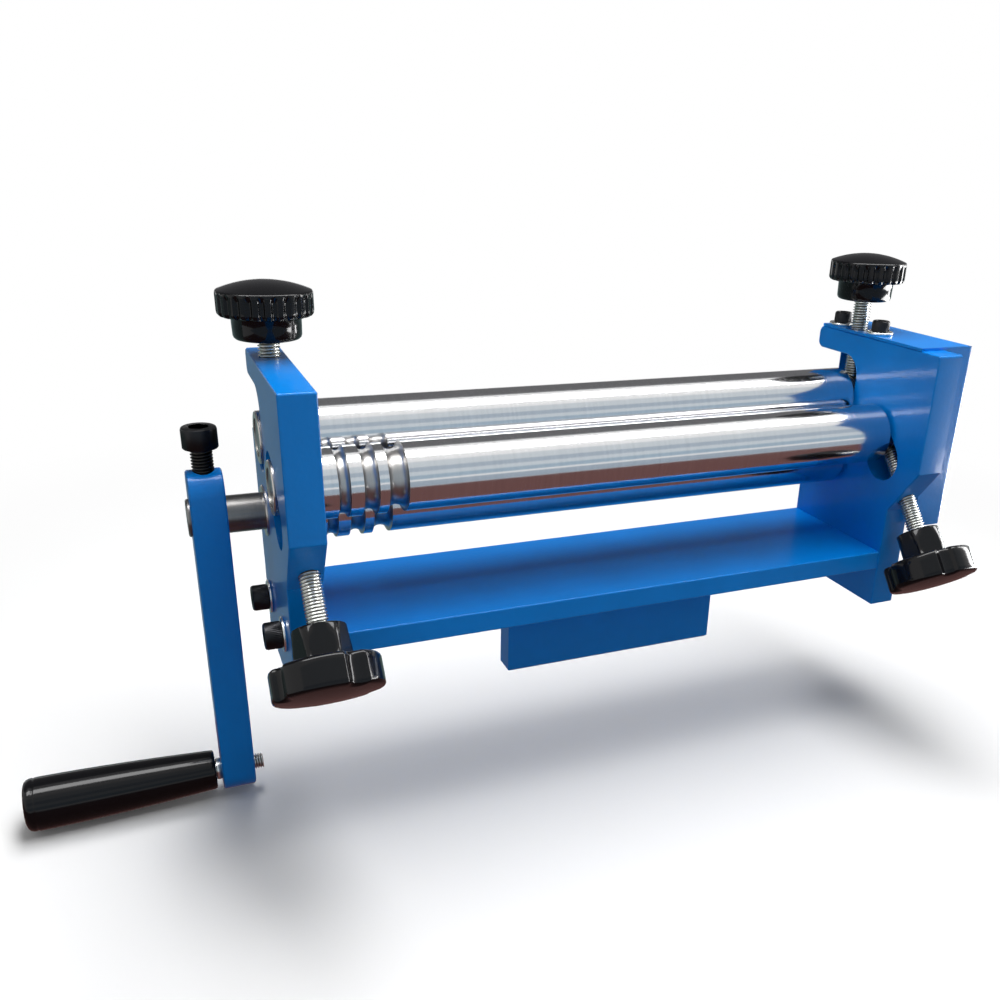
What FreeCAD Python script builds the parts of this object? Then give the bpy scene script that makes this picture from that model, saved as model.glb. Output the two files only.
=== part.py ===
# Bench slip roll with three rolls, a hand crank and a clamping tongue for a vise.
# X runs along the rolls (crank at -X), +Y is the back, +Z is up. Millimetres.
# Sizes are laid out from the side plates' front edge (y = 0) and feet (z = 0), and every
# solid is moved at the end so that the origin is the centre of the tongue's bottom face.
import FreeCAD, Part
import math
import os

V = FreeCAD.Vector

# Side plates and base
width_between_plates = 320.0
plate_thickness = 16.0
plate_depth = 102.0
plate_height = 152.0
notch_top = 87.0
notch_bottom = 59.8
notch_depth = 19.5
edge_break = 0.7
base_thickness = 11.0
base_top = 34.0
tongue_length = 124.0
tongue_thickness = 12.0
tongue_centre_y = 50.0
tongue_drop = 39.0

# Rolls
roll_radius = 16.5
journal_radius = 9.0
roll_shoulder = 158.6
roll_chamfer = 0.8
driven_y, driven_z = 76.0, 78.0
upper_gap = 3.3
pinch_gap = 0.3
release_lift = 12.0
groove_places = [(-146.8, 5.3, 2.2), (-134.7, 7.0, 2.9), (-122.2, 9.1, 3.7)]

# Bushes and their slots
bush_radius = 12.5
bush_length = 18.0
bush_slide_gap = 0.15
running_gap = 0.05
mouth_clearance = 0.5
mouth_round = 12.0
nose_round = 4.0

# Forming roll slot
slot_angle = 51.0
slot_low_y, slot_low_z = 30.5, 88.0
slot_travel = 20.5
forming_rest = 16.4

# Adjusting screws, M10
screw_radius = 5.0
screw_hole_radius = 5.08
dog_radius = 3.3
dog_length = 1.4
dimple_radius = 3.7
dimple_depth = 1.7
bearing_gap = 0.05
knob_bury = 13.0
top_hub_left = 160.0
top_hub_right = 170.4
forming_hub_left = 49.6
forming_hub_right = 45.6
forming_left_x = -166.4

# Knobs
knob_radius = 21.2
knob_hub_radius = 15.4
knob_hub_height = 10.4
knob_rim_height = 11.4
knob_dome = 4.0
flute_count = 24
flute_radius = 1.5
star_radius = 24.0
star_hub_radius = 12.8
star_hub_flat = 11.3
star_hub_height = 15.8
star_height = 14.6
star_dome = 1.6
star_lobes = 4
star_valley_radius = 5.5
star_valley_reach = 26.2
star_corner = 2.2
star_turn_left = 65.0
star_turn_right = 17.0

# Gears, long teeth for a centre distance that changes
gear_teeth = 14
gear_pitch_radius = 17.5
gear_tip_radius = 19.3
gear_root_radius = 13.6
gear_tooth_width = 3.1
pressure_angle = 20.0
gear_face = 12.0
gear_inner_x = 178.5
key_width = 5.0
key_height = 5.0
clip_thickness = 1.2
clip_groove_radius = 8.3
journal_end_x = 193.2

# Crank and grip
arm_inner_x = -194.0
arm_thickness = 16.0
arm_half_width = 11.0
arm_top_centre = 90.0
crank_radius = 140.0
shaft_stub = 1.5
shaft_flat = 0.9
clamp_shank_radius = 5.0
clamp_head_radius = 8.0
clamp_head_height = 10.0
clamp_stand = 10.5
spindle_radius = 4.0
spindle_collar_radius = 5.5
spindle_collar = 2.6
spindle_stub = 5.0
spindle_head_radius = 6.5
spindle_head = 5.0
grip_length = 88.0
grip_small_radius = 10.2
grip_big_radius = 13.1
grip_recess_radius = 8.0
grip_recess = 9.0

# Gear guard, bent and welded sheet
guard_thickness = 1.5
guard_front_y = 14.0
guard_back_y = 99.0
guard_outer_x = 196.0
guard_bottom_z = 50.0
guard_screw_y = [57.8, 91.6]
guard_hole_radius = 3.3
guard_knob_hole_radius = 7.0

# Cap screws
base_screw_y = [40.0, 85.0]
base_screw_z = 28.5
m8_radius, m8_head_radius, m8_head, m8_socket = 4.0, 6.5, 8.0, 6.0
m8_reach = 22.0
m8_washer_radius, washer_thickness = 8.5, 1.6
m6_radius, m6_head_radius, m6_head, m6_socket = 3.0, 5.0, 6.0, 5.0
m6_reach = 11.0
m6_washer_radius = 7.5

# Places worked out from the sizes above
inner_x = width_between_plates / 2
outer_x = inner_x + plate_thickness
screw_x = inner_x + plate_thickness / 2
forming_x = {-1: forming_left_x, 1: screw_x}
upper_y = driven_y
upper_z = driven_z + 2 * roll_radius + upper_gap
upper_low_z = driven_z + 2 * roll_radius + pinch_gap
slot_half = bush_radius + bush_slide_gap
seat_bottom = upper_low_z - bush_radius - bush_slide_gap
shoulder_z = upper_z + release_lift - bush_radius - mouth_clearance
mouth_top = upper_z + release_lift + bush_radius + mouth_clearance
slope = math.radians(slot_angle)
along = V(0, math.cos(slope), math.sin(slope))
across = V(0, -math.sin(slope), math.cos(slope))
slot_low = V(0, slot_low_y, slot_low_z)
forming_centre = slot_low + along * forming_rest
origin = V(0, tongue_centre_y, base_top - base_thickness - tongue_drop)
os.makedirs("parts", exist_ok=True)


def rounded_wire(corners):
    """A closed wire through (point, radius) corners, each rounded by a tangent arc."""
    edges, starts, ends = [], [], []
    count = len(corners)
    for i, (point, radius) in enumerate(corners):
        back = (corners[i - 1][0] - point).normalize()
        ahead = (corners[(i + 1) % count][0] - point).normalize()
        half = back.getAngle(ahead) / 2
        reach = radius / math.tan(half)
        middle = point + (back + ahead).normalize() * (radius / math.sin(half) - radius)
        starts.append(point + back * reach)
        ends.append(point + ahead * reach)
        edges.append(Part.Arc(starts[-1], middle, ends[-1]).toShape())
    for i in range(count):
        if (ends[i - 1] - starts[i]).Length > 0.001:
            edges.append(Part.LineSegment(ends[i - 1], starts[i]).toShape())
    return Part.Wire(Part.__sortEdges__(edges))


def plate_prism(corners, x_low, x_high):
    """A plate with a rounded outline given as (y, z, radius), from x_low to x_high."""
    wire = rounded_wire([(V(x_low, y, z), radius) for y, z, radius in corners])
    return Part.Face(wire).extrude(V(x_high - x_low, 0, 0))


def seam(axis):
    """The direction square to an axis in which turned pieces have their seam."""
    return axis.cross(V(0.3, 0.5, 0.8)).normalize()


def turned(path, start, axis):
    """A turned piece, from the (distance, radius) steps of its profile along axis from start."""
    side = seam(axis)
    points = [start + axis * distance + side * radius for distance, radius in path]
    return Part.Face(Part.makePolygon(points + points[:1])).revolve(start, axis, 360)


def rod(radius, start, axis, length):
    return Part.makeCylinder(radius, length, start, axis)


def cap_screw(seat, axis, shank, head, head_height, socket, reach):
    """A socket cap screw: its head stands on seat along axis, its shank goes the other way."""
    path = [(-reach, 0), (-reach, shank - 0.8), (-reach + 0.8, shank), (0, shank), (0, head)]
    path += [(head_height - 0.8, head), (head_height, head - 0.8), (head_height, 0)]
    screw = turned(path, seat, axis)
    side = seam(axis)
    turn = FreeCAD.Rotation(axis, 60)
    points = []
    for _ in range(6):
        points.append(seat + axis * (head_height - socket * 0.6) + side * (socket / math.sqrt(3)))
        side = turn.multVec(side)
    hexagon = Part.Face(Part.makePolygon(points + points[:1]))
    return screw.cut(hexagon.extrude(axis * socket))


def washer(centre, axis, outer, inner):
    ring = rod(outer, centre, axis, washer_thickness)
    return ring.cut(rod(inner, centre, axis, washer_thickness))


def save(name, solids):
    """Moves the solids to the part's own origin and writes them as one node."""
    shape = solids[0] if len(solids) == 1 else Part.makeCompound(solids)
    shape = shape.copy()
    shape.translate(origin * -1)
    assert shape.isValid() and shape.Volume > 0, name
    assert len(shape.Solids) == len(solids), name
    shape.exportStep("parts/" + name + ".step")
    print(name, len(shape.Solids), len(shape.Faces), round(shape.Volume))


# Side plates: one outline for both, with the hook seat for the upper roll's bush open to the
# back, the slanted slot for the forming roll, and the driven roll's bore.
front_low = notch_depth
seat_round = bush_radius + bush_slide_gap - 0.05
plate_outline = [
    (front_low, 0, 1.2), (plate_depth, 0, 1.2), (plate_depth, shoulder_z, 1.5),
    (upper_y + slot_half, shoulder_z, 1.5), (upper_y + slot_half, seat_bottom, seat_round),
    (upper_y - slot_half, seat_bottom, seat_round), (upper_y - slot_half, mouth_top, mouth_round),
    (plate_depth, mouth_top, nose_round), (plate_depth, plate_height, nose_round),
    (0, plate_height, 1.2), (0, notch_top, 1.2), (front_low, notch_bottom, 1.2),
]


def slot_tool(x_low, x_high):
    """The slanted slot: a straight slot with round ends, slot_travel between end centres."""
    corners = []
    for step, side in ((-1, -1), (1, -1), (1, 1), (-1, 1)):
        end = slot_low + along * (slot_travel if step > 0 else 0) + along * (step * slot_half)
        point = end + across * (side * slot_half)
        corners.append((point.y, point.z, slot_half - 0.01))
    return plate_prism(corners, x_low, x_high)


def side_plate(side):
    low, high = sorted((side * inner_x, side * outer_x))
    plate = plate_prism(plate_outline, low, high)
    rim = [e for e in plate.Edges if abs(e.BoundBox.XLength) < 0.001]
    plate = plate.makeChamfer(edge_break, rim)
    cutters = [slot_tool(low - 1, high + 1)]
    cutters.append(rod(bush_radius, V(low, driven_y, driven_z), V(1, 0, 0), plate_thickness))
    cutters.append(rod(screw_hole_radius, V(side * screw_x, upper_y, mouth_top - 3), V(0, 0, 1), 20))
    screw_start = V(forming_x[side], slot_low_y, slot_low_z) - along * 45
    cutters.append(rod(screw_hole_radius, screw_start, along, 40))
    for y in base_screw_y:
        hole = V(low, y, base_screw_z)
        cutters.append(rod(m8_radius + 0.5, hole, V(1, 0, 0), plate_thickness))
    if side > 0:
        for y in guard_screw_y:
            hole = V(screw_x, y, plate_height - m6_reach + guard_thickness + washer_thickness)
            cutters.append(rod(m6_radius, hole, V(0, 0, 1), 20))
    for cutter in cutters:
        plate = plate.cut(cutter)
    return plate


save("left_side_plate", [side_plate(-1)])
save("right_side_plate", [side_plate(1)])

# Base plate between the side plates, tapped at its ends for the cap screws
base_outline = [
    (notch_depth + 0.8, base_top - base_thickness, 0.8), (plate_depth, base_top - base_thickness, 0.8),
    (plate_depth, base_top, 0.8), (notch_depth + 0.8, base_top, 0.8),
]
base = plate_prism(base_outline, -inner_x, inner_x)
base_grip = m8_reach - plate_thickness - washer_thickness
for y in base_screw_y:
    for side in (-1, 1):
        start = V(side * inner_x, y, base_screw_z)
        base = base.cut(rod(m8_radius, start, V(-side, 0, 0), base_grip))
save("base_plate", [base])

# Clamping tongue: a flat bar welded under the base plate, for the vise jaws
tongue_top = base_top - base_thickness
tongue = Part.makeBox(tongue_length, tongue_thickness, tongue_drop,
                      V(-tongue_length / 2, tongue_centre_y - tongue_thickness / 2, tongue_top - tongue_drop))
tongue_edges = [e for e in tongue.Edges if e.BoundBox.ZMax < tongue_top - tongue_drop + 0.001]
save("clamp_tongue", [tongue.makeChamfer(1.0, tongue_edges)])

# Cap screws and washers that hold each side plate to the base plate
for name, side in (("left", -1), ("right", 1)):
    screws, washers = [], []
    for y in base_screw_y:
        out = V(side, 0, 0)
        face = V(side * outer_x, y, base_screw_z)
        washers.append(washer(face, out, m8_washer_radius, m8_radius + 0.2))
        seat = face + out * washer_thickness
        screws.append(cap_screw(seat, out, m8_radius, m8_head_radius, m8_head, m8_socket, m8_reach))
    save("base_screws_" + name, screws)
    save("base_washers_" + name, washers)


# Rolls: polished bars with turned journals; the two lower ones have three wire grooves
def roll(y, z, left_end, right_end, grooves):
    path = [(left_end, 0), (left_end, journal_radius - 0.6), (left_end + 0.6, journal_radius)]
    path += [(-roll_shoulder, journal_radius), (-roll_shoulder, roll_radius - roll_chamfer)]
    path += [(-roll_shoulder + roll_chamfer, roll_radius)]
    for middle, opening, depth in grooves:
        for quarter in range(5):
            swing = math.pi * quarter / 4
            reach = opening / 2 * math.cos(swing)
            path += [(middle - reach, roll_radius - depth * math.sin(swing))]
    path += [(roll_shoulder - roll_chamfer, roll_radius), (roll_shoulder, roll_radius - roll_chamfer)]
    path += [(roll_shoulder, journal_radius), (right_end - 0.6, journal_radius)]
    path += [(right_end, journal_radius - 0.6), (right_end, 0)]
    return turned(path, V(0, y, z), V(1, 0, 0))


gear_outer_x = gear_inner_x + gear_face
journal_short = inner_x + bush_length - 1.5


def geared_roll(body, y, z, key_side):
    """Cuts the key seat and the clip groove that hold a gear on a roll's right journal."""
    seat_low = z + key_side * journal_radius - key_height / 2
    key_seat = Part.makeBox(gear_face, key_width, key_height, V(gear_inner_x, y - key_width / 2, seat_low))
    groove = rod(journal_radius + 1, V(gear_outer_x, y, z), V(1, 0, 0), clip_thickness)
    groove = groove.cut(rod(clip_groove_radius, V(gear_outer_x, y, z), V(1, 0, 0), clip_thickness))
    return body.cut(key_seat).cut(groove), key_seat


upper = roll(upper_y, upper_z, -journal_short, journal_end_x, [])
upper, upper_key = geared_roll(upper, upper_y, upper_z, 1)
save("upper_roll", [upper])

arm_outer_x = arm_inner_x - arm_thickness
driven = roll(driven_y, driven_z, arm_outer_x - shaft_stub, journal_end_x, groove_places)
driven, driven_key = geared_roll(driven, driven_y, driven_z, -1)
flat_z = driven_z + journal_radius - shaft_flat
flat_start = arm_outer_x - shaft_stub
flat = Part.makeBox(arm_thickness + shaft_stub, 2 * journal_radius, shaft_flat,
                    V(flat_start, driven_y - journal_radius, flat_z))
save("lower_roll", [driven.cut(flat)])

save("forming_roll", [roll(forming_centre.y, forming_centre.z, -journal_short, journal_short, groove_places)])


# Bushes: plain rings; those of the upper and forming rolls have a dimple for the screw's point
def bush(side, y, z, dimple_axis, dimple_x):
    start = V(side * screw_x - bush_length / 2, y, z)
    path = [(0, journal_radius + running_gap), (0, bush_radius - 0.5), (0.5, bush_radius)]
    path += [(bush_length - 0.5, bush_radius), (bush_length, bush_radius - 0.5)]
    path += [(bush_length, journal_radius + running_gap)]
    ring = turned(path, start, V(1, 0, 0))
    if dimple_axis:
        middle = V(dimple_x, y, z) + dimple_axis * (bush_radius - dimple_depth)
        ring = ring.cut(rod(dimple_radius, middle, dimple_axis, 4))
    return ring


for name, side in (("left", -1), ("right", 1)):
    save("lower_bush_" + name, [bush(side, driven_y, driven_z, None, 0)])
    save("upper_bush_" + name, [bush(side, upper_y, upper_z, V(0, 0, 1), side * screw_x)])
    forming = bush(side, forming_centre.y, forming_centre.z, along * -1, forming_x[side])
    save("forming_bush_" + name, [forming])


# Gears: fourteen long teeth, one up on the driven roll, one gap down on the upper roll
def involute(angle):
    return math.tan(angle) - angle


def gear(y, z, phase):
    base_radius = gear_pitch_radius * math.cos(math.radians(pressure_angle))
    pitch_half = gear_tooth_width / 2 / gear_pitch_radius + involute(math.radians(pressure_angle))

    def half_angle(radius):
        return pitch_half - involute(math.acos(min(1.0, base_radius / radius)))

    def at(radius, angle):
        return V(gear_inner_x, y + radius * math.cos(angle), z + radius * math.sin(angle))

    edges = []
    step = 2 * math.pi / gear_teeth
    foot, tip = half_angle(base_radius), half_angle(gear_tip_radius)
    mid_radius = (base_radius + gear_tip_radius) / 2
    middle = half_angle(mid_radius)
    for tooth in range(gear_teeth):
        a = phase + tooth * step
        root_1, root_2 = at(gear_root_radius, a - foot), at(gear_root_radius, a + foot)
        base_1, base_2 = at(base_radius, a - foot), at(base_radius, a + foot)
        tip_1, tip_2 = at(gear_tip_radius, a - tip), at(gear_tip_radius, a + tip)
        next_root = at(gear_root_radius, a + step - foot)
        edges.append(Part.LineSegment(root_1, base_1).toShape())
        edges.append(Part.Arc(base_1, at(mid_radius, a - middle), tip_1).toShape())
        edges.append(Part.Arc(tip_1, at(gear_tip_radius, a), tip_2).toShape())
        edges.append(Part.Arc(tip_2, at(mid_radius, a + middle), base_2).toShape())
        edges.append(Part.LineSegment(base_2, root_2).toShape())
        edges.append(Part.Arc(root_2, at(gear_root_radius, a + step / 2), next_root).toShape())
    blank = Part.Face(Part.Wire(edges)).extrude(V(gear_face, 0, 0))
    return blank.cut(rod(journal_radius, V(gear_inner_x, y, z), V(1, 0, 0), gear_face))


def clip(y, z):
    """A retaining ring with an opening at the bottom, in its groove beside the gear."""
    start = V(gear_outer_x, y, z)
    ring = rod(journal_radius + 2.2, start, V(1, 0, 0), clip_thickness)
    ring = ring.cut(rod(clip_groove_radius, start, V(1, 0, 0), clip_thickness))
    return ring.cut(Part.makeBox(clip_thickness, 6, 14, V(gear_outer_x, y - 3, z - 14)))


half_tooth = math.pi / gear_teeth
upper_gear = gear(upper_y, upper_z, -math.pi / 2 + half_tooth).cut(upper_key)
driven_gear = gear(driven_y, driven_z, math.pi / 2).cut(driven_key)
save("upper_gear", [upper_gear])
save("lower_gear", [driven_gear])
save("upper_gear_key", [upper_key])
save("lower_gear_key", [driven_key])
save("upper_gear_clip", [clip(upper_y, upper_z)])
save("lower_gear_clip", [clip(driven_y, driven_z)])


# Adjusting screws and knobs. A screw starts at its tip on the bush and runs into its knob.
def adjusting_screw(tip, axis, hub_distance):
    end = hub_distance + knob_bury
    path = [(-dog_length, 0), (-dog_length, dog_radius - 0.4), (-dog_length + 0.4, dog_radius)]
    path += [(0, dog_radius), (0, screw_radius - 0.7), (0.7, screw_radius)]
    path += [(end, screw_radius), (end, 0)]
    return turned(path, tip, axis)


def crown(radius, rise, share):
    """How high a shallow spherical dome stands over its rim, at a share of its radius."""
    ball = (radius ** 2 + rise ** 2) / (2 * rise)
    return rise - ball + math.sqrt(ball ** 2 - (radius * share) ** 2)


def fluted_knob(hub, axis):
    """A round moulded knob: short hub, fluted rim and shallow domed top."""
    rim_low = knob_hub_height
    rim_high = rim_low + knob_rim_height
    top = rim_high + knob_dome
    path = [(0, 0), (0, knob_hub_radius - 2.0), (1.6, knob_hub_radius - 0.3)]
    path += [(rim_low, knob_hub_radius), (rim_low, knob_radius - 1.8), (rim_low + 1.8, knob_radius)]
    edge = knob_radius - 1.0
    path += [(rim_high - 1.0, knob_radius), (rim_high, edge)]
    path += [(rim_high + crown(edge, knob_dome, 0.7), edge * 0.7)]
    path += [(rim_high + crown(edge, knob_dome, 0.35), edge * 0.35), (top, 0)]
    knob = turned(path, hub, axis)
    side = FreeCAD.Rotation(axis, 180.0 / flute_count).multVec(seam(axis))
    turn = FreeCAD.Rotation(axis, 360.0 / flute_count)
    for _ in range(flute_count):
        foot = hub + axis * (rim_low - 1) + side * (knob_radius + flute_radius - 0.9)
        knob = knob.cut(rod(flute_radius, foot, axis, knob_rim_height - 0.6))
        side = turn.multVec(side)
    return knob.cut(rod(screw_radius, hub, axis, knob_bury))


def star_plan(centre, axis, side):
    """The head's outline: a disc with round valleys, every lobe corner rounded."""
    plan = Part.Face(Part.Wire(Part.makeCircle(star_radius, centre, axis)))
    turn = FreeCAD.Rotation(axis, 360.0 / star_lobes)
    for _ in range(star_lobes):
        valley = Part.makeCircle(star_valley_radius, centre + side * star_valley_reach, axis)
        plan = plan.cut(Part.Face(Part.Wire(valley)))
        side = turn.multVec(side)
    return plan.Faces[0].makeOffset2D(-star_corner).makeOffset2D(star_corner)


def six_flats(centre, axis, side, length):
    """A six-sided bar for the flats on the hub, one flat facing side."""
    corner = FreeCAD.Rotation(axis, 30).multVec(side) * (star_hub_flat / math.cos(math.pi / 6))
    turn = FreeCAD.Rotation(axis, 60)
    points = []
    for _ in range(6):
        points.append(centre + corner)
        corner = turn.multVec(corner)
    return Part.Face(Part.makePolygon(points + points[:1])).extrude(axis * length)


def star_knob(hub, axis, turn_angle):
    """A moulded cross knob: hub with six flats, four broad lobes with round valleys, domed face."""
    low = star_hub_height
    high = low + star_height
    top = high + star_dome
    path = [(0, 0), (0, star_hub_radius - 2.0), (1.0, star_hub_radius - 0.9), (low, star_hub_radius)]
    path += [(low, star_radius - 1.6), (low + 1.6, star_radius)]
    edge = star_radius - 1.4
    path += [(high - 1.4, star_radius), (high, edge)]
    path += [(high + crown(edge, star_dome, 0.7), edge * 0.7)]
    path += [(high + crown(edge, star_dome, 0.35), edge * 0.35), (top, 0)]
    knob = turned(path, hub, axis)
    side = V(1, 0, 0).cross(axis)
    head_start = hub + axis * low
    lobes = star_plan(head_start, axis, side).extrude(axis * (top - low))
    knob = knob.cut(rod(star_radius + 5, head_start, axis, top - low).cut(lobes))
    flats = six_flats(hub, axis, side, low)
    knob = knob.cut(rod(star_radius, hub, axis, low).cut(flats))
    knob = knob.cut(rod(screw_radius, hub, axis, knob_bury))
    knob.rotate(hub, axis, turn_angle)
    return knob


for name, side, hub_z in (("left", -1, top_hub_left), ("right", 1, top_hub_right)):
    tip = V(side * screw_x, upper_y, upper_z + bush_radius + bearing_gap)
    hub = V(side * screw_x, upper_y, hub_z)
    save("top_screw_" + name, [adjusting_screw(tip, V(0, 0, 1), hub_z - tip.z)])
    save("top_knob_" + name, [fluted_knob(hub, V(0, 0, 1))])

forming_sides = (("left", -1, forming_hub_left, star_turn_left),
                 ("right", 1, forming_hub_right, star_turn_right))
for name, side, reach, turn_angle in forming_sides:
    out = along * -1
    offset = V(forming_x[side], 0, 0)
    tip = forming_centre + offset + out * (bush_radius + bearing_gap)
    hub = slot_low + offset + out * reach
    save("forming_screw_" + name, [adjusting_screw(tip, out, (hub - tip).Length)])
    save("star_knob_" + name, [star_knob(hub, out, turn_angle)])

# Crank: a flat bar with round ends on the driven roll's long journal, held by a cap screw
crank_foot = driven_z - crank_radius
arm_outline = [
    (driven_y - arm_half_width, crank_foot - arm_half_width, arm_half_width - 0.01),
    (driven_y + arm_half_width, crank_foot - arm_half_width, arm_half_width - 0.01),
    (driven_y + arm_half_width, arm_top_centre + arm_half_width, arm_half_width - 0.01),
    (driven_y - arm_half_width, arm_top_centre + arm_half_width, arm_half_width - 0.01),
]
arm = plate_prism(arm_outline, arm_outer_x, arm_inner_x)
arm_rim = [e for e in arm.Edges if abs(e.BoundBox.XLength) < 0.001]
arm = arm.makeChamfer(edge_break, arm_rim)
arm_top = arm_top_centre + arm_half_width
arm_middle_x = arm_outer_x + arm_thickness / 2
arm = arm.cut(driven)
arm = arm.cut(rod(spindle_radius, V(arm_outer_x, driven_y, crank_foot), V(1, 0, 0), arm_thickness))
clamp_seat = V(arm_middle_x, driven_y, arm_top + clamp_stand)
clamp_reach = clamp_seat.z - flat_z
arm = arm.cut(rod(clamp_shank_radius, V(arm_middle_x, driven_y, driven_z), V(0, 0, 1), 40))
save("crank_arm", [arm])
save("crank_clamp_screw", [cap_screw(clamp_seat, V(0, 0, 1), clamp_shank_radius, clamp_head_radius,
                                     clamp_head_height, 8.0, clamp_reach)])

# Handle: a spindle screwed through the arm, and a tapered grip that turns on it
spindle_start = V(arm_inner_x + spindle_stub, driven_y, crank_foot)
to_collar = spindle_stub + arm_thickness
to_head = to_collar + spindle_collar + grip_length - grip_recess
path = [(0, 0), (0, spindle_radius - 0.6), (0.6, spindle_radius), (to_collar, spindle_radius)]
path += [(to_collar, spindle_collar_radius), (to_collar + spindle_collar, spindle_collar_radius)]
path += [(to_collar + spindle_collar, spindle_radius), (to_head + 0.3, spindle_radius)]
path += [(to_head + 0.3, spindle_head_radius), (to_head + spindle_head, spindle_head_radius)]
path += [(to_head + spindle_head, 0)]
spindle = turned(path, spindle_start, V(-1, 0, 0))
slot_box = Part.makeBox(1.6, 2 * spindle_head_radius, 1.4,
                        V(spindle_start.x - to_head - spindle_head, driven_y - spindle_head_radius,
                          crank_foot - 0.7))
save("handle_spindle", [spindle.cut(slot_box)])

grip_start = V(arm_outer_x - spindle_collar - 0.3, driven_y, crank_foot)
bore = spindle_radius + running_gap
recess_start = grip_length - grip_recess
path = [(0, bore), (0, grip_small_radius - 1.0), (1.2, grip_small_radius)]
for share in (0.25, 0.5, 0.75, 1.0):
    swell = (grip_big_radius - grip_small_radius) * math.sin(share * math.pi / 2)
    path += [(1.2 + share * (grip_length - 4.2), grip_small_radius + swell)]
path += [(grip_length - 1.0, grip_big_radius - 0.9), (grip_length, grip_big_radius - 2.6)]
path += [(grip_length, grip_recess_radius), (recess_start, grip_recess_radius), (recess_start, bore)]
save("handle_grip", [turned(path, grip_start, V(-1, 0, 0))])

# Gear guard: a five-sided sheet box over the gears, screwed down through its top flange
guard_height = plate_height - guard_bottom_z
shell = Part.makeBox(guard_outer_x - outer_x, guard_back_y - guard_front_y, guard_height + guard_thickness,
                     V(outer_x, guard_front_y, guard_bottom_z))
hollow = Part.makeBox(guard_outer_x - outer_x - guard_thickness,
                      guard_back_y - guard_front_y - 2 * guard_thickness, guard_height,
                      V(outer_x, guard_front_y + guard_thickness, guard_bottom_z))
outer_edges = [e for e in shell.Edges
               if e.BoundBox.XMin > guard_outer_x - 0.001 and e.BoundBox.ZMax > guard_bottom_z + 0.001]
shell = shell.makeFillet(guard_thickness, outer_edges)
flange = Part.makeBox(plate_thickness, guard_back_y - guard_front_y, guard_thickness,
                      V(inner_x, guard_front_y, plate_height))
guard = shell.cut(hollow).fuse(flange).removeSplitter()
for y in guard_screw_y:
    guard = guard.cut(rod(guard_hole_radius, V(screw_x, y, plate_height), V(0, 0, 1), 5))
guard = guard.cut(rod(guard_knob_hole_radius, V(screw_x, upper_y, plate_height), V(0, 0, 1), 5))
save("gear_guard", [guard])

screws, washers = [], []
for y in guard_screw_y:
    face = V(screw_x, y, plate_height + guard_thickness)
    washers.append(washer(face, V(0, 0, 1), m6_washer_radius, m6_radius + 0.2))
    seat = face + V(0, 0, washer_thickness)
    screws.append(cap_screw(seat, V(0, 0, 1), m6_radius, m6_head_radius, m6_head, m6_socket, m6_reach))
save("guard_screws", screws)
save("guard_washers", washers)
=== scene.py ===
import math
import bmesh
import bpy
from mathutils import Matrix, Vector


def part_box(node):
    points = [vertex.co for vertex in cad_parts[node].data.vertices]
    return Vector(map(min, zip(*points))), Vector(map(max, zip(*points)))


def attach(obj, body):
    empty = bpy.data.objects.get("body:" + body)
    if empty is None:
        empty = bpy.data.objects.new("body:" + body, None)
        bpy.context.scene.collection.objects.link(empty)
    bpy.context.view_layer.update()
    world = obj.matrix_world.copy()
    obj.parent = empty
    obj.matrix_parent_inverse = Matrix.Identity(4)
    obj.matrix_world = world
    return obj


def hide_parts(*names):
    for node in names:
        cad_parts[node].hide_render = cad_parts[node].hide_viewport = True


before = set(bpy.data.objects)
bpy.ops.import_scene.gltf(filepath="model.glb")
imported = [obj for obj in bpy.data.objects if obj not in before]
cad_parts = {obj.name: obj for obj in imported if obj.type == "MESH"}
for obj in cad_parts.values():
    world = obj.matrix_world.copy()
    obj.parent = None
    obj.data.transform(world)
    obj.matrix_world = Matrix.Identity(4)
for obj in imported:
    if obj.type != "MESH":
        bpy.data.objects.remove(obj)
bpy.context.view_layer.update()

# Side plates, base plate, tongue and crank arm: thick steel plate under glossy blue enamel.
# The plates are sawn and milled to shape, their rims broken, and the paint lies a little
# unevenly, so each keeps its solid with its corners merged and its broken rims shaded round.
mm = 0.001


def blank_material(name):
    """A new material with its nodes, links, shader and Object coordinates."""
    material = bpy.data.materials.new(name)
    material.use_nodes = True
    nodes, links = material.node_tree.nodes, material.node_tree.links
    place = nodes.new("ShaderNodeTexCoord").outputs["Object"]
    return material, nodes, links, nodes["Principled BSDF"], place


def noise(nodes, links, place, scale, detail):
    texture = nodes.new("ShaderNodeTexNoise")
    texture.inputs["Scale"].default_value = scale
    texture.inputs["Detail"].default_value = detail
    links.new(place, texture.inputs["Vector"])
    return texture.outputs["Fac"]


def shades(nodes, links, shader, height, colour, ends, darker, lighter):
    """A base colour that runs from darker to lighter as the noise rises between its ends."""
    ramp = nodes.new("ShaderNodeValToRGB")
    for stop, end, change in zip((0, 1), ends, (1 - darker, 1 + lighter)):
        ramp.color_ramp.elements[stop].position = end
        ramp.color_ramp.elements[stop].color = [min(1, c * change) for c in colour] + [1]
    links.new(height, ramp.inputs["Fac"])
    links.new(ramp.outputs["Color"], shader.inputs["Base Color"])


def relief(nodes, links, shader, height, strength, distance):
    """Small unevenness of the surface that only its shading shows."""
    bump = nodes.new("ShaderNodeBump")
    bump.inputs["Strength"].default_value = strength
    bump.inputs["Distance"].default_value = distance
    links.new(height, bump.inputs["Height"])
    links.new(bump.outputs["Normal"], shader.inputs["Normal"])
    return bump.outputs["Normal"]


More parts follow.
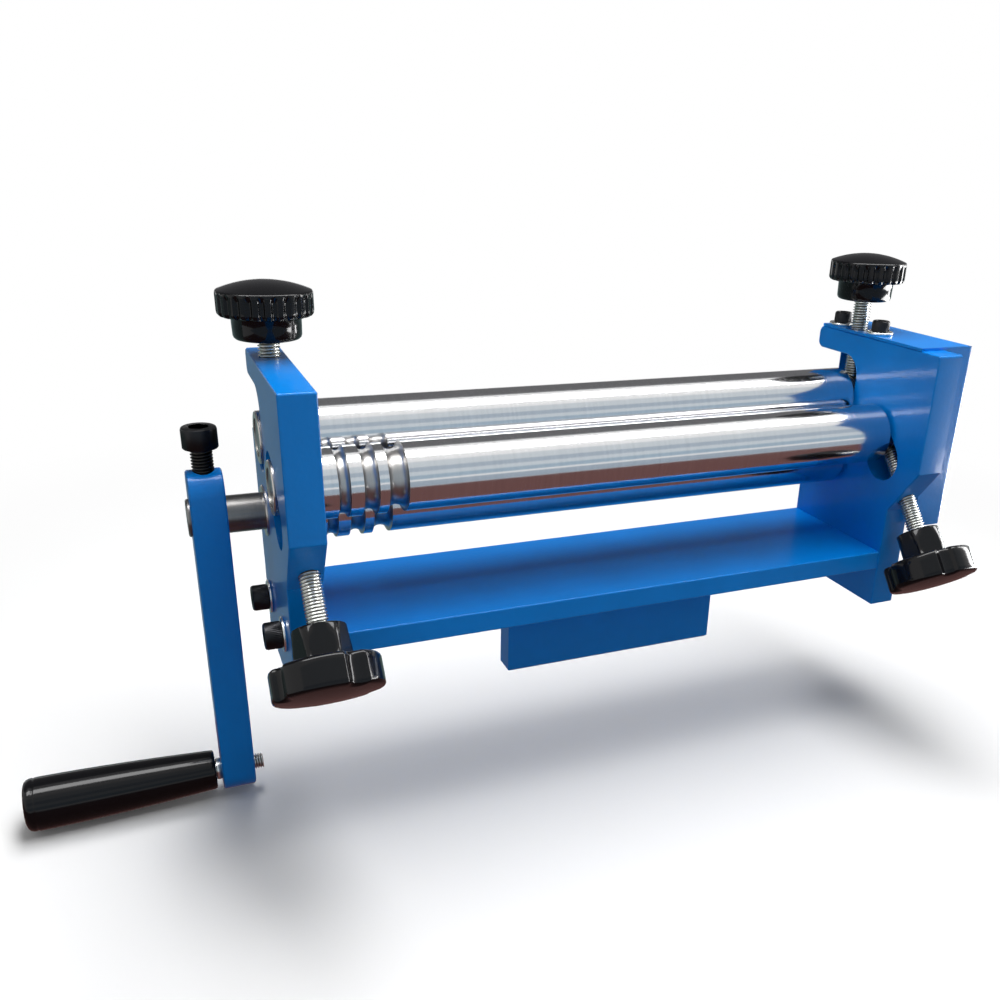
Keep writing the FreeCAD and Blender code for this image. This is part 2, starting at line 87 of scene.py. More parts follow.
def paint(name, colour, roughness, unevenness, grain):
    """An enamel: a clear coat over an even colour that clouds slightly and ripples in the light."""
    material, nodes, links, shader, place = blank_material(name)
    shader.inputs["Roughness"].default_value = roughness
    shader.inputs["Specular IOR Level"].default_value = 0.12
    shader.inputs["Coat Weight"].default_value = 0.3
    shader.inputs["Coat Roughness"].default_value = 0.08
    cloud = noise(nodes, links, place, scale=28, detail=3)
    shades(nodes, links, shader, cloud, colour, (0.3, 0.7), unevenness, unevenness)
    ripple = noise(nodes, links, place, scale=grain, detail=2)
    normal = relief(nodes, links, shader, ripple, strength=0.12, distance=0.0006)
    links.new(normal, shader.inputs["Coat Normal"])
    return material


def finished(name, bm, body, nodes, material, crease=40):
    """Turns a bmesh into a piece that rides on its body and stands for its solids."""
    mesh = bpy.data.meshes.new(name)
    bm.to_mesh(mesh)
    bm.free()
    mesh.shade_smooth()
    mesh.set_sharp_from_angle(angle=math.radians(crease))
    mesh.materials.append(material)
    piece = bpy.data.objects.new(name, mesh)
    bpy.context.scene.collection.objects.link(piece)
    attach(piece, body)
    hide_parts(*nodes)
    return piece


def dressed_solid(node, body, material, crease=40):
    """A copy of a solid with its corners merged, its flats whole and its roundings shaded."""
    bm = bmesh.new()
    bm.from_mesh(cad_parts[node].data)
    bmesh.ops.remove_doubles(bm, verts=bm.verts, dist=0.002 * mm)
    bmesh.ops.dissolve_limit(bm, angle_limit=math.radians(0.5), verts=bm.verts, edges=bm.edges)
    piece = finished(node + "_finish", bm, body, [node], material, crease)
    even = piece.modifiers.new("even shading", "WEIGHTED_NORMAL")
    even.keep_sharp = True
    even.weight = 100
    return piece


blue = paint("blue_enamel", (0, 0.225, 0.74), roughness=0.3, unevenness=0.05, grain=420)
for plate in ("left_side_plate", "right_side_plate", "base_plate", "clamp_tongue"):
    dressed_solid(plate, "frame", blue)
dressed_solid("crank_arm", "driven_roll", blue)

# Gear guard: thin sheet, folded and welded, in the same blue enamel. It covers the gears and is
# open below and towards the side plate.
dressed_solid("gear_guard", "frame", blue)


# Rolls: ground and polished bar. Their ends are turned down to journals of darker, satin
# steel; the forming and driven rolls have three half-round wire grooves near the crank end.
def gloss(nodes, links, shader, height, least, most):
    """A roughness that runs from least to most as the noise rises."""
    span = nodes.new("ShaderNodeMapRange")
    span.inputs["To Min"].default_value = least
    span.inputs["To Max"].default_value = most
    links.new(height, span.inputs["Value"])
    links.new(span.outputs["Result"], shader.inputs["Roughness"])


def metal(name, colour, roughness, marks, depth, spread=0.08):
    """Bare metal with fine machining marks; marks holds their scale along X, Y and Z."""
    material, nodes, links, shader, place = blank_material(name)
    shader.inputs["Metallic"].default_value = 1
    stretch = nodes.new("ShaderNodeMapping")
    stretch.inputs["Scale"].default_value = marks
    links.new(place, stretch.inputs["Vector"])
    lines = noise(nodes, links, stretch.outputs["Vector"], scale=1, detail=4)
    shades(nodes, links, shader, lines, colour, (0.25, 0.75), spread, spread / 2)
    gloss(nodes, links, shader, lines, roughness - spread / 2, roughness + spread / 2)
    relief(nodes, links, shader, lines, strength=depth, distance=0.0002)
    return material


def place_on(bm, foot, axis, spin=0):
    """Stands a bmesh that was made along +Z on its foot, along its axis."""
    turn = Vector((0, 0, 1)).rotation_difference(Vector(axis)).to_matrix().to_4x4()
    whirl = Matrix.Rotation(spin, 4, "Z")
    bmesh.ops.transform(bm, matrix=Matrix.Translation(Vector(foot)) @ turn @ whirl, verts=bm.verts)
    bmesh.ops.recalc_face_normals(bm, faces=bm.faces)
    return bm


def turned(profile, foot, axis, steps):
    """A turned piece from (distance, radius) points in millimetres, along axis from foot."""
    bm = bmesh.new()
    points = [bm.verts.new((radius * mm, 0, distance * mm)) for distance, radius in profile]
    for near, far in zip(points, points[1:]):
        bm.edges.new((near, far))
    bmesh.ops.spin(bm, geom=bm.verts[:] + bm.edges[:], cent=(0, 0, 0), axis=(0, 0, 1),
                   angle=math.tau, steps=steps, use_merge=True)
    bmesh.ops.remove_doubles(bm, verts=bm.verts, dist=0.001 * mm)
    return place_on(bm, foot, axis)


def middle_of(node):
    low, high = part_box(node)
    return (low + high) / 2


polished = metal("polished_roll_steel", (0.74, 0.74, 0.75), roughness=0.13,
                 marks=(900, 30, 30), depth=0.012, spread=0.05)
satin = metal("satin_journal_steel", (0.2, 0.195, 0.19), roughness=0.3,
              marks=(2600, 20, 20), depth=0.2)
# The grooves take a satin steel: its roughness is the grooves' own turned finish, and its darker
# grey is painted shade in the grooves.
satin_painted_shade_groove = metal("satin_groove_steel_painted_shade", (0.42, 0.41, 0.4), roughness=0.3,
                      marks=(2600, 20, 20), depth=0.15)
roll_radius, roll_bevel, shoulder = 16.5, 0.8, 158.6
journal_radius, journal_bevel = 9.0, 0.6
# Each groove's place along the roll, its opening and its depth.
groove_places = [(-146.8, 5.3, 2.2), (-134.7, 7.0, 2.9), (-122.2, 9.1, 3.7)]
groove_steps = 12


def roll(body, node, bush, grooves, left_end, right_end):
    """A roll between its shoulders, and its two journals, as separate pieces on one body."""
    centre = middle_of(bush)
    axle = (0, centre.y, centre.z)
    profile = [(-shoulder, 0), (-shoulder, roll_radius - roll_bevel),
               (-shoulder + roll_bevel, roll_radius)]
    for place, opening, depth in grooves:
        for step in range(groove_steps + 1):
            swing = math.pi * step / groove_steps
            profile.append((place - opening / 2 * math.cos(swing),
                            roll_radius - depth * math.sin(swing)))
    profile += [(shoulder - roll_bevel, roll_radius), (shoulder, roll_radius - roll_bevel),
                (shoulder, 0)]
    barrel = turned(profile, axle, (1, 0, 0), 128)
    # Faces sunk more than 0.12 mm below the barrel, away from its ends, take the darker satin
    # steel, which is painted shade in the grooves.
    for face in barrel.faces:
        middle = face.calc_center_median()
        inset = roll_radius * mm - math.hypot(middle.y - centre.y, middle.z - centre.z)
        face.material_index = int(inset > 0.12 * mm and abs(middle.x) < (shoulder - 1) * mm)
    piece = finished(body + "_barrel", barrel, body, [node], polished, 32)
    piece.data.materials.append(satin_painted_shade_groove)
    for side, inside, outside in (("left", -shoulder, left_end), ("right", shoulder, right_end)):
        bevel = math.copysign(journal_bevel, outside)
        journal = turned([(inside, 0), (inside, journal_radius), (outside - bevel, journal_radius),
                          (outside, journal_radius - journal_bevel), (outside, 0)],
                         axle, (1, 0, 0), 64)
        finished(body + "_journal_" + side, journal, body, [node], satin, 32)


# A journal ends at its bush, at the far side of a gear, or in the crank arm.
bush_end, gear_end, crank_end = 176.5, 193.2, 211.5
roll("forming_roll", "forming_roll", "forming_bush_left", groove_places, -bush_end, bush_end)
roll("upper_roll", "upper_roll", "upper_bush_left", [], -bush_end, gear_end)
roll("driven_roll", "lower_roll", "lower_bush_left", groove_places, -crank_end, gear_end)


# Bushes: plain turned steel rings. The lower pair is pressed into the plates, the others slide
# in their slots and carry the adjusting screws' points.
def ring_profile(length, bore, radius, bevel):
    """A plain ring's closed section, its outer corners bevelled."""
    return [(0, bore), (0, radius - bevel), (bevel, radius), (length - bevel, radius),
            (length, radius - bevel), (length, bore), (0, bore)]


bush_length, bush_bore, bush_radius, bush_bevel = 18, 9.05, 12.5, 0.5
bush_steel = metal("bush_steel", (0.5, 0.48, 0.45), roughness=0.27,
                   marks=(1800, 60, 60), depth=0.15)
bush_bodies = {"lower": "frame", "upper": "upper_carriage", "forming": "forming_carriage"}
for kind, body in bush_bodies.items():
    for side in ("left", "right"):
        node = kind + "_bush_" + side
        low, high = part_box(node)
        foot = (low.x, (low.y + high.y) / 2, (low.z + high.z) / 2)
        ring = turned(ring_profile(bush_length, bush_bore, bush_radius, bush_bevel),
                      foot, (1, 0, 0), 72)
        finished(node + "_ring", ring, body, [node], bush_steel, 32)

# Gears under the guard: long-toothed steel gears, each on a key, with a spring clip outside.
# The teeth are cut, and all of these are the same plain grey steel.
gear_steel = metal("cut_gear_steel", (0.42, 0.41, 0.4), roughness=0.3,
                   marks=(400, 900, 900), depth=0.2)
for node, body in (("upper_gear", "upper_roll"), ("lower_gear", "driven_roll"),
                   ("upper_gear_key", "upper_roll"), ("lower_gear_key", "driven_roll"),
                   ("upper_gear_clip", "upper_roll"), ("lower_gear_clip", "driven_roll")):
    dressed_solid(node, body, gear_steel, 30)

# Socket cap screws: black oxide on rolled steel, with a fine knurl round the head, a six-sided
# socket and a plain shank. Two M8 hold each side plate and two M6 the guard.
m8_screw = {"head": 6.5, "height": 8.0, "socket": 6.0, "shank": 4.0}
m6_screw = {"head": 5.0, "height": 6.0, "socket": 5.0, "shank": 3.0}
inner_face, plate_thickness, washer_thickness = 160, 16, 1.6
plate_middle = inner_face + plate_thickness / 2
oxide = metal("black_oxide", (0.03, 0.03, 0.032), roughness=0.36,
              marks=(900, 900, 900), depth=0.15)


def draw_in(vert, scale):
    """Moves a vertex towards or away from the Z axis."""
    vert.co.x *= scale
    vert.co.y *= scale


def cap_screw(name, body, node, seat, axis, reach, head, height, socket, shank):
    """A cap screw on its seat: head and shank are radii, socket is measured across its flats."""
    bm = bmesh.new()
    ridges, ridge_scale = 48, 0.972
    loops = []
    for rise, radius in ((0, head - 0.4), (0.4, head), (height - 1.2, head),
                         (height - 0.3, head - 0.35), (height, head - 0.8)):
        ring = bmesh.ops.create_circle(bm, segments=ridges * 2, radius=radius * mm,
                                       matrix=Matrix.Translation((0, 0, rise * mm)))["verts"]
        if 0 < rise < height - 1:
            for v in ring[::2]:
                draw_in(v, ridge_scale)
        loops.append(list({e for v in ring for e in v.link_edges}))
    corner, socket_floor = socket / math.sqrt(3), height - socket * 0.6
    for rise, radius in ((height, corner + 0.3), (height - 0.35, corner), (socket_floor, corner),
                         (socket_floor - 0.6, 0.8)):
        ring = bmesh.ops.create_circle(bm, segments=6, radius=radius * mm,
                                       matrix=Matrix.Translation((0, 0, rise * mm)))["verts"]
        loops.append(list({e for v in ring for e in v.link_edges}))
    for near, far in zip(loops, loops[1:]):
        bmesh.ops.bridge_loops(bm, edges=near + far)
    bmesh.ops.holes_fill(bm, edges=loops[0] + loops[-1])
    stub = bmesh.ops.create_circle(bm, segments=40, radius=shank * mm, cap_ends=True)["verts"]
    down = bmesh.ops.extrude_face_region(bm, geom=list({f for v in stub for f in v.link_faces}))
    moved = [v for v in down["geom"] if isinstance(v, bmesh.types.BMVert)]
    bmesh.ops.translate(bm, vec=(0, 0, -reach * mm), verts=moved)
    place_on(bm, seat, axis)
    finished(name, bm, body, [node], oxide, 38)


for side, sign in (("left", -1), ("right", 1)):
    node = "base_screws_" + side
    low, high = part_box(node)
    seat_x = sign * (inner_face + plate_thickness + washer_thickness) * mm
    edge = m8_screw["head"] * mm
    for mark, y in (("front", low.y + edge), ("back", high.y - edge)):
        cap_screw("base_screw_" + side + "_" + mark, "frame", node,
                  (seat_x, y, (low.z + high.z) / 2), (sign, 0, 0), reach=22.0, **m8_screw)
low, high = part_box("guard_screws")
seat_z, edge = high.z - m6_screw["height"] * mm, m6_screw["head"] * mm
for mark, y in (("front", low.y + edge), ("back", high.y - edge)):
    cap_screw("guard_screw_" + mark, "frame", "guard_screws", (plate_middle * mm, y, seat_z),
              (0, 0, 1), reach=11.0, **m6_screw)

# Washers: bright zinc plate, punched, with slightly rounded edges. Each lies under the head of
# a base screw or a guard screw.
zinc = metal("bright_zinc", (0.72, 0.73, 0.71), roughness=0.25, marks=(700, 700, 700), depth=0.18)
for node, axis, outer, inner in (("base_washers_left", (-1, 0, 0), 8.5, 4.2),
                                 ("base_washers_right", (1, 0, 0), 8.5, 4.2),
                                 ("guard_washers", (0, 0, 1), 7.5, 3.2)):
    low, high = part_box(node)
    for mark, y in (("front", low.y + outer * mm), ("back", high.y - outer * mm)):
        if axis[2]:
            foot = (plate_middle * mm, y, low.z)
        else:
            foot = (low.x if axis[0] > 0 else high.x, y, (low.z + high.z) / 2)
        ring = turned(ring_profile(washer_thickness, inner, outer, 0.3), foot, axis, 64)
        finished(node + "_" + mark, ring, "frame", [node], zinc, 50)

# Adjusting screws: bright zinc M10 studs with rolled threads, their points turned down to
# stand in the bushes. Two stand upright and two are slanted.
# The thread roots take a near-black steel: painted shade in the hollows between the thread's
# crests.
painted_root_shade = metal("thread_root_painted_shade", (0.09, 0.085, 0.075), roughness=0.5,
                   marks=(700, 700, 700), depth=0.2, spread=0.2)
stud_radius, stud_pitch = 5.0, 1.5
point_radius, point_length, point_bevel = 3.3, 1.4, 0.4
steps_per_turn = 28


def thread(length, radius, pitch):
    """A threaded rod up +Z from the origin: one thread profile swept in a helix, ends cut."""
    bm = bmesh.new()
    root = radius - 0.61 * pitch
    profile = [(root, 0), (root, 0.12), (radius, 0.44), (radius, 0.56), (root, 0.88), (root, 1)]
    points = [bm.verts.new((r * mm, 0, (h - 2) * pitch * mm)) for r, h in profile]
    for near, far in zip(points, points[1:]):
        bm.edges.new((near, far))
    turns = math.ceil(length / pitch) + 4
    bmesh.ops.spin(bm, geom=bm.verts[:] + bm.edges[:], cent=(0, 0, 0), axis=(0, 0, 1),
                   dvec=(0, 0, pitch / steps_per_turn * mm), angle=math.tau * turns,
                   steps=turns * steps_per_turn)
    bmesh.ops.remove_doubles(bm, verts=bm.verts, dist=0.004 * mm)
    # Faces at the thread's root take the second slot, the dark steel of painted shade.
    for face in bm.faces:
        reaches = [math.hypot(v.co.x, v.co.y) for v in face.verts]
        face.material_index = int(max(reaches) < (root + 0.05) * mm)
    for height, normal in ((0, (0, 0, -1)), (length * mm, (0, 0, 1))):
        cut = bmesh.ops.bisect_plane(bm, geom=bm.verts[:] + bm.edges[:] + bm.faces[:],
                                     plane_co=(0, 0, height), plane_no=normal, clear_outer=True)
        rim = [e for e in cut["geom_cut"] if isinstance(e, bmesh.types.BMEdge)]
        bmesh.ops.holes_fill(bm, edges=rim)
    return bm


def stud(name, screw, tip, axis, length):
    """A threaded stud along axis from its tip, and the turned point that stands before it."""
    bm = place_on(thread(length, stud_radius, stud_pitch), tip, axis)
    # The second slot is the painted shade in the thread roots.
    finished(name, bm, screw, [screw], zinc, 35).data.materials.append(painted_root_shade)
    point = turned([(-point_length, 0), (-point_length, point_radius - point_bevel),
                    (-point_length + point_bevel, point_radius), (0.4, point_radius), (0.4, 0)],
                   tip, axis, 48)
    finished(name + "_point", point, screw, [screw], zinc, 35)


for side in ("left", "right"):
    screw = "top_screw_" + side
    low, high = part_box(screw)
    middle = (low + high) / 2
    stud("top_stud_" + side, screw, (middle.x, middle.y, low.z + point_length * mm), (0, 0, 1),
         (high.z - low.z) / mm - point_length)
slope = math.radians(51)
downhill = Vector((0, -math.cos(slope), -math.sin(slope)))
bush_gap = 0.05


def slanted_screw(side):
    """Where a slanted screw's thread starts at its bush, and how long it is in millimetres."""
    low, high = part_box("forming_screw_" + side)
    bush = middle_of("forming_bush_" + side)
    tip = Vector(((low.x + high.x) / 2, bush.y, bush.z)) + downhill * (bush_radius + bush_gap) * mm
    length = (tip.z - low.z - stud_radius * mm * math.cos(slope)) / math.sin(slope) / mm
    return tip, length


for side in ("left", "right"):
    tip, length = slanted_screw(side)
    stud("slanted_stud_" + side, "forming_screw_" + side, tip, downhill, length)


# Fluted knobs on the top screws: compression-moulded black plastic with a short hub, a rim of
# 24 narrow flutes that stop short of the top, and a shallow polished dome.
def moulding(name, colour, roughness):
    """Gloss black plastic under a thin clear skin, with a slight haze."""
    material, nodes, links, shader, place = blank_material(name)
    shader.inputs["Base Color"].default_value = colour + (1,)
    shader.inputs["Specular IOR Level"].default_value = 0.1
    shader.inputs["Coat Weight"].default_value = 0.3
    shader.inputs["Coat Roughness"].default_value = 0.04
    haze = noise(nodes, links, place, scale=90, detail=5)
    gloss(nodes, links, shader, haze, roughness - 0.05, roughness + 0.08)
    relief(nodes, links, shader, haze, strength=0.06, distance=0.0004)
    return material


def dome_height(radius, edge, rise):
    """How high a shallow spherical dome stands at a radius, above its edge."""
    ball = (edge ** 2 + rise ** 2) / (2 * rise)
    return rise - ball + math.sqrt(max(0, ball ** 2 - radius ** 2))


def spot(vert):
    """A vertex's height and distance from the Z axis in millimetres, and its bearing."""
    bearing = math.degrees(math.atan2(vert.co.y, vert.co.x))
    return vert.co.z / mm, math.hypot(vert.co.x, vert.co.y) / mm, bearing


def aside_of(bearing, step):
    """How far a bearing is from the nearest of the directions that are a step apart."""
    return (bearing + step / 2) % step - step / 2


knob_black = moulding("gloss_black_moulding", (0.004, 0.004, 0.005), roughness=0.16)
hub_radius, hub_rise, rim_radius, rim_rise, dome_rise = 15.4, 10.4, 21.2, 11.4, 4.0
flutes, flute_depth, flute_half, flute_top, flute_fade = 24, 1.2, 3.9, 1.2, 2.4
rim_foot, rim_top = hub_rise + 2.2, hub_rise + rim_rise
for side in ("left", "right"):
    low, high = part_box("top_knob_" + side)
    profile = [(0, stud_radius), (0, 13.2), (0.25, 14.1), (0.9, 14.8), (1.9, 15.15), (6, 15.3),
               (hub_rise - 0.4, hub_radius), (hub_rise, hub_radius + 0.3), (hub_rise, 19.4),
               (hub_rise + 0.3, 20.3), (hub_rise + 1.2, 21.0), (rim_foot, rim_radius)]
    profile += [(rim_foot + step, rim_radius)
                for step in (1.4, 2.8, 4.2, 5.2, 5.9, 6.4, 6.9, 7.3, 7.7)]
    profile += [(rim_top - 0.8, rim_radius - 0.1), (rim_top - 0.3, rim_radius - 0.4),
                (rim_top, rim_radius - 0.95)]
    for radius in (19.2, 18, 16, 13, 10, 6, 3, 0):
        profile.append((rim_top + dome_height(radius, rim_radius - 1, dome_rise), radius))
    knob = turned(profile, (0, 0, 0), (0, 0, 1), 384)
    for v in knob.verts:
        height, reach, bearing = spot(v)
        if hub_rise <= height < rim_top - 0.9 and reach > 18:
            off = aside_of(bearing, 360 / flutes)
            fade = min(1, max(0, (rim_top - flute_top - height) / flute_fade)) ** 0.5
            depth = flute_depth * fade * math.sqrt(max(0, 1 - (off / flute_half) ** 2))
            draw_in(v, 1 - depth / reach)
    place_on(knob, ((low.x + high.x) / 2, (low.y + high.y) / 2, low.z), (0, 0, 1), 0.06)
    finished("fluted_knob_" + side, knob, "top_screw_" + side, ["top_knob_" + side],
             knob_black, 50)

# Cross knobs on the slanted screws: black plastic again, a hub with six flats and a head of
# four broad lobes with round valleys between them, slightly domed.
head_radius, head_rise, valley_radius, valley_reach = 24.0, 14.6, 5.5, 26.2
lug_rise, lug_radius, lug_flat, crown_rise = 15.8, 12.8, 11.3, 1.6
lobe_foot, lobe_blend, screw_depth = 13.2, 1.1, 13.0


def lobe_reach(off):
    """How far the head reaches at an angle from a valley's middle, its corners rounded."""
    aside = valley_reach * math.sin(math.radians(off))
    if abs(aside) > valley_radius:
        notch = head_radius + 3.0 * (abs(aside) - valley_radius)
    else:
        notch = (valley_reach * math.cos(math.radians(off))
                 - math.sqrt(valley_radius ** 2 - aside ** 2))
    share = max(0, min(1, 0.5 + (notch - head_radius) / (2 * lobe_blend)))
    return head_radius * share + notch * (1 - share) - lobe_blend * share * (1 - share)


def crown(radius):
    """The height of the head's dome at a radius."""
    return top + dome_height(radius, head_radius - 1.4, crown_rise)


top = lug_rise + head_rise
for side, spin in (("left", 65), ("right", 17)):
    profile = [(0, stud_radius), (0, 10.9), (0.3, 11.5), (1.0, 11.9), (6, 12.2), (11, 12.6),
               (lug_rise - 0.4, 12.7), (lug_rise, lug_radius + 0.2), (lug_rise, 16),
               (lug_rise, 19), (lug_rise, 22.0), (lug_rise + 0.3, 23.0), (lug_rise + 1.0, 23.7),
               (lug_rise + 2.0, head_radius)]
    profile += [(lug_rise + 2.0 + step, head_radius) for step in (2.4, 4.8, 7.2, 9.6, 11.0)]
    profile += [(top - 0.9, 23.8), (top - 0.4, 23.4), (top - 0.1, 22.7)]
    profile += [(crown(radius), radius) for radius in (21.8, 20.4, 18.4, 16, 13, 10, 6, 3, 0)]
    knob = turned(profile, (0, 0, 0), (0, 0, 1), 320)
    for v in knob.verts:
        height, reach, bearing = spot(v)
        if height < lug_rise - 0.1 and reach > 8:
            draw_in(v, min(1, lug_flat / math.cos(math.radians(aside_of(bearing, 60))) / reach))
        elif height > lug_rise - 0.1 and reach > lobe_foot:
            stretch = (lobe_reach(aside_of(bearing, 90)) - lobe_foot) / (head_radius - lobe_foot)
            scale = (lobe_foot + (reach - lobe_foot) * stretch) / reach
            draw_in(v, scale)
            if height > top:
                v.co.z = crown(reach * scale) * mm
    # The spin is measured from the direction that is square to the rolls and to the screw.
    tip, length = slanted_screw(side)
    seam = Vector((0, 0, 1)).rotation_difference(downhill).to_matrix() @ Vector((1, 0, 0))
    square = Vector((1, 0, 0)).cross(downhill)
    start = math.atan2(downhill.dot(seam.cross(square)), seam.dot(square))
    place_on(knob, tip + downhill * (length - screw_depth) * mm, downhill,
             start + math.radians(spin))
    finished("cross_knob_" + side, knob, "forming_screw_" + side, ["star_knob_" + side],
             knob_black, 50)

# Clamp screw in the top of the crank arm: a black M10 cap screw, its thread showing where it
# stands proud of the arm.
m10_screw = {"head": 8.0, "height": 10.0, "socket": 8.0, "shank": 5.0}
low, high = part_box("crank_clamp_screw")
seat = ((low.x + high.x) / 2, (low.y + high.y) / 2, high.z - m10_screw["height"] * mm)
cap_screw("clamp_screw_head", "driven_roll", "crank_clamp_screw", seat, (0, 0, 1), reach=1,
          **m10_screw)
shank = thread((high.z - low.z) / mm - m10_screw["height"], stud_radius, stud_pitch)
place_on(shank, (seat[0], seat[1], low.z), (0, 0, 1))
# Its thread roots take the painted shade as a second slot.
finished("clamp_screw_thread", shank, "driven_roll", ["crank_clamp_screw"], oxide,
         35).data.materials.append(painted_root_shade)

# Handle: a zinc-plated spindle screwed into the arm's foot, and a tapered black grip that turns
# on it, polished, with a fine line near its outer end and a recess over the spindle's head.
spindle_radius, spindle_pitch, spindle_thread, grip_bore = 4.0, 1.25, 21, 4.05
low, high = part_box("handle_spindle")
axle_y, axle_z = (low.y + high.y) / 2, (low.z + high.z) / 2
stub = thread(spindle_thread, spindle_radius, spindle_pitch)
place_on(stub, (high.x, axle_y, axle_z), (-1, 0, 0))
# Its thread roots take the painted shade as a second slot.
finished("spindle_thread", stub, "driven_roll", ["handle_spindle"], zinc,
         35).data.materials.append(painted_root_shade)
pin = turned([(spindle_thread, 0), (spindle_thread, 5.3), (21.3, 5.5), (23.3, 5.5), (23.6, 5.2),
              (23.6, spindle_radius), (102.9, spindle_radius), (102.9, 6.3), (103.2, 6.5),
              (106.6, 6.5), (107.6, 5.6), (107.6, 0)], (high.x, axle_y, axle_z), (-1, 0, 0), 64)
finished("spindle_pin", pin, "driven_roll", ["handle_spindle"], zinc, 35)
low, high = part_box("handle_grip")
taper_steps, taper_length, taper_start, taper_swell = 12, 80.5, 10.2, 2.9
profile = [(0, grip_bore), (0, 9.0), (0.3, 9.7), (1.0, 10.1), (2.0, taper_start)]
profile += [(2 + taper_length * t / taper_steps,
             taper_start + taper_swell * math.sin(math.pi / 2 * t / taper_steps))
            for t in range(1, taper_steps + 1)]
profile += [(83.0, 13.05), (83.3, 12.75), (83.7, 12.75), (84.0, 13.0), (85.2, 12.95),
            (86.6, 12.5), (87.5, 11.6), (88.0, 10.4), (88.0, 8.4), (87.6, 8.0), (79.0, 8.0),
            (79.0, grip_bore), (0, grip_bore)]
grip = turned(profile, (high.x, axle_y, axle_z), (-1, 0, 0), 112)
finished("grip_moulding", grip, "grip", ["handle_grip"], knob_black, 50)

# Floor and backdrop: a plain pale floor under the hanging crank, which fades to white further
# out, and a white world. The camera and the machine's reflections see them so; to the rest of
# the light they are darker.
floor_bm = bmesh.new()
bmesh.ops.create_grid(floor_bm, x_segments=1, y_segments=1, size=40,
                      matrix=Matrix.Translation((0, 0, -0.0605)))
floor_mesh = bpy.data.meshes.new("floor")
floor_bm.to_mesh(floor_mesh)
floor_bm.free()
floor = bpy.data.objects.new("floor", floor_mesh)
bpy.context.scene.collection.objects.link(floor)


def seen_rays(nodes, links):
    """One for camera, glossy and transmission rays, and nothing for the others."""
    ray = nodes.new("ShaderNodeLightPath")
    seen = ray.outputs["Is Camera Ray"]
    for kind in ("Is Glossy Ray", "Is Transmission Ray"):
        either = nodes.new("ShaderNodeMath")
        either.operation = "MAXIMUM"
        links.new(seen, either.inputs[0])
        links.new(ray.outputs[kind], either.inputs[1])
        seen = either.outputs["Value"]
    return seen


def two_tones(nodes, links, seen, unseen_tone, seen_tone):
    """One colour for the rays that are seen and another for the rest."""
    tone = nodes.new("ShaderNodeMix")
    tone.data_type = "RGBA"
    links.new(seen, tone.inputs["Factor"])
    tone.inputs["A"].default_value = unseen_tone + (1,)
    tone.inputs["B"].default_value = seen_tone + (1,)
    return tone.outputs["Result"]


floor_finish, nodes, links, shader, place = blank_material("pale_floor")
nodes.remove(shader)
distance = nodes.new("ShaderNodeVectorMath")
distance.operation = "LENGTH"
links.new(place, distance.inputs[0])
seen = seen_rays(nodes, links)
pale = nodes.new("ShaderNodeBsdfDiffuse")
tone = two_tones(nodes, links, seen, (0.35, 0.34, 0.34), (0.95, 0.95, 0.95))
links.new(tone, pale.inputs["Color"])
white = nodes.new("ShaderNodeEmission")
fade = nodes.new("ShaderNodeMapRange")
fade.interpolation_type = "SMOOTHSTEP"
fade.inputs["From Min"].default_value = 0.25
fade.inputs["From Max"].default_value = 0.8
links.new(distance.outputs["Value"], fade.inputs["Value"])
shown = nodes.new("ShaderNodeMath")
shown.operation = "MULTIPLY"
links.new(fade.outputs["Result"], shown.inputs[0])
links.new(seen, shown.inputs[1])
surface = nodes.new("ShaderNodeMixShader")
links.new(shown.outputs["Value"], surface.inputs["Fac"])
links.new(pale.outputs["BSDF"], surface.inputs[1])
links.new(white.outputs["Emission"], surface.inputs[2])
links.new(surface.outputs["Shader"], nodes["Material Output"].inputs["Surface"])
floor_mesh.materials.append(floor_finish)

world = bpy.data.worlds.new("studio")
bpy.context.scene.world = world
world.use_nodes = True
nodes, links = world.node_tree.nodes, world.node_tree.links
backdrop = two_tones(nodes, links, seen_rays(nodes, links), (0.24, 0.24, 0.24), (1, 1, 1))
links.new(backdrop, nodes["Background"].inputs["Color"])


# Reflection boards: flat boards stood round the machine, as in a photographer's studio, so that
# polished steel and gloss plastic have dark, pale and bright things to mirror. They show in
# reflections alone.
def board(name, place, size, colour, strength=1, facing=None):
    """A glowing board of a width and height, facing the machine or the way that facing says."""
    bm = bmesh.new()
    bmesh.ops.create_grid(bm, x_segments=1, y_segments=1, size=0.5)
    bmesh.ops.scale(bm, vec=(size[0], size[1], 1), verts=bm.verts)
    aim = Vector(facing) if facing else Vector((0, 0, 0.1)) - Vector(place) * Vector((0, 1, 1))
    stand = Matrix.Translation(place) @ aim.to_track_quat("Z", "Y").to_matrix().to_4x4()
    bmesh.ops.transform(bm, matrix=stand, verts=bm.verts)
    mesh = bpy.data.meshes.new(name)
    bm.to_mesh(mesh)
    bm.free()
    finish = bpy.data.materials.new(name)
    finish.use_nodes = True
    nodes, links = finish.node_tree.nodes, finish.node_tree.links
    nodes.remove(nodes["Principled BSDF"])
    glow = nodes.new("ShaderNodeEmission")
    glow.inputs["Color"].default_value = colour + (1,)
    glow.inputs["Strength"].default_value = strength
    links.new(glow.outputs["Emission"], nodes["Material Output"].inputs["Surface"])
    mesh.materials.append(finish)
    piece = bpy.data.objects.new(name, mesh)
    bpy.context.scene.collection.objects.link(piece)
    piece.visible_camera = piece.visible_diffuse = piece.visible_shadow = False
    piece.visible_transmission = piece.visible_volume_scatter = False


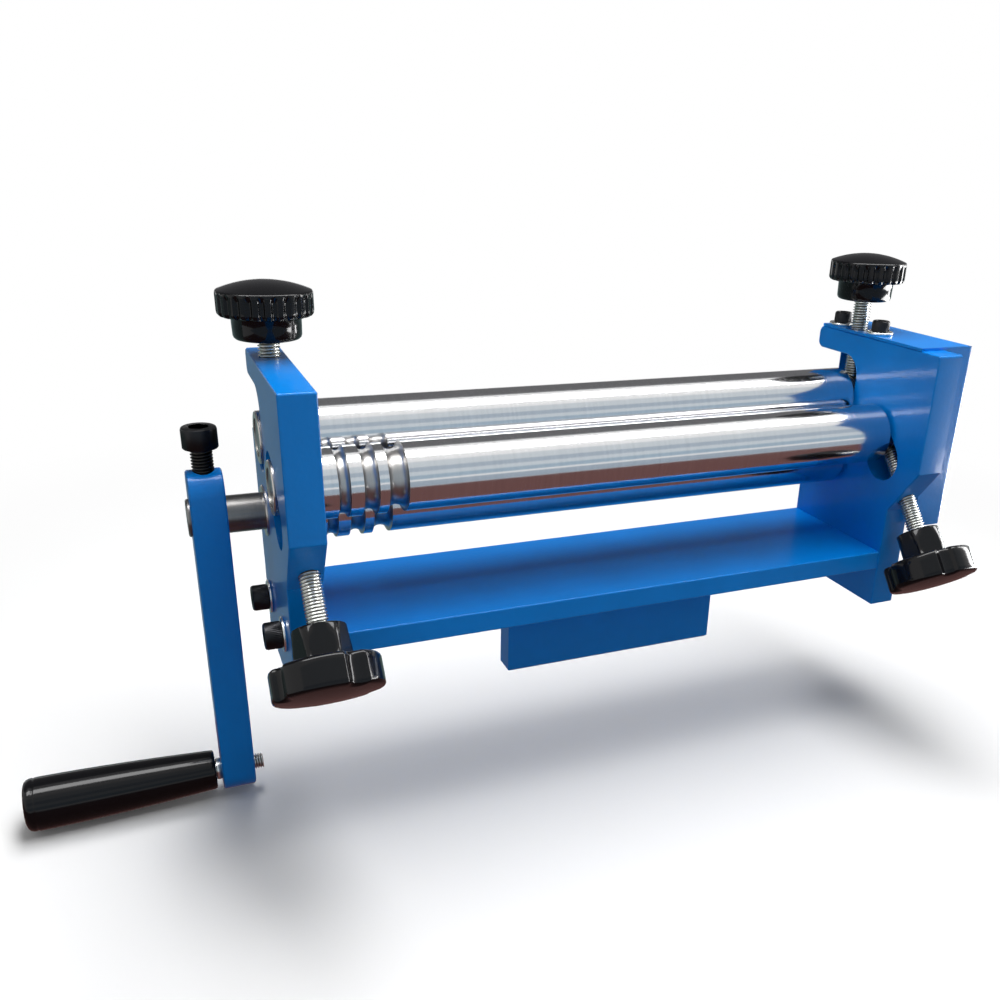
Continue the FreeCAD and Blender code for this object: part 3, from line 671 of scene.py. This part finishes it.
up, bright, lying = (0, 0, 1), (1, 1, 1), -0.058
board("dark_board_behind", (0, 1.55, 1.19), (6, 2.25), (0.16, 0.16, 0.165))
board("pale_board_high", (0, -1.25, 1.58), (6, 0.62), (0.7, 0.76, 0.8))
board("grey_board_high", (0, -1.6, 1.13), (6, 0.5), (0.46, 0.54, 0.62))
board("pale_board_low", (0, -1.83, 0.74), (6, 0.36), (0.68, 0.75, 0.8))
board("grey_board_low", (0, -1.92, 0.36), (6, 0.44), (0.4, 0.52, 0.62))
board("bright_board_above", (0, -0.02, 1.4), (2.6, 0.44), bright, strength=12)
board("bright_board_right", (1.15, -0.04, 0.42), (0.26, 0.9), bright, 15, facing=(-1, 0, 0))
board("bright_board_low", (0.95, -0.1, lying + mm), (0.7, 0.7), bright, 26, facing=up)
board("warm_board_below", (-0.1, -0.17, lying), (1.3, 0.54), (0.17, 0.085, 0.08), facing=up)
board("cool_board_ahead", (0, -1.4, lying), (5, 1.9), (0.4, 0.48, 0.56), facing=up)
board("cool_board_behind", (0, 1.1, lying), (5, 2.0), (0.2, 0.28, 0.28), facing=up)


# Lamps and camera: a large soft lamp straight above and a weak one at the front left, both
# hidden from reflections; the camera stands at the front left, a little above the rolls.
def softbox(name, place, size, power):
    lamp = bpy.data.lights.new(name, "AREA")
    lamp.shape = "RECTANGLE"
    lamp.size, lamp.size_y = size
    lamp.energy = power
    holder = bpy.data.objects.new(name, lamp)
    holder.location = place
    aim = Vector((0, 0, 0.08)) - Vector(place)
    holder.rotation_euler = aim.to_track_quat("-Z", "Y").to_euler()
    holder.visible_glossy = False
    bpy.context.scene.collection.objects.link(holder)


softbox("overhead", (0.1, 0.02, 1.1), (1.4, 0.45), power=17)
softbox("front_fill", (-0.9, -1.3, 0.7), (0.8, 0.8), power=1.0)

camera_data = bpy.data.cameras.new("camera")
camera_data.sensor_width = 36
camera_data.lens = 34.985
camera_data.shift_x = -0.075
camera_data.shift_y = 0.065
camera_data.clip_start = 0.01
camera = bpy.data.objects.new("camera", camera_data)
camera.location = (-0.22384, -0.43732, 0.25819)
camera.rotation_euler = [math.radians(a) for a in (67.0718, -2.1399, -23.8596)]
bpy.context.scene.collection.objects.link(camera)
bpy.context.scene.camera = camera
bpy.context.scene.view_settings.view_transform = "Standard"
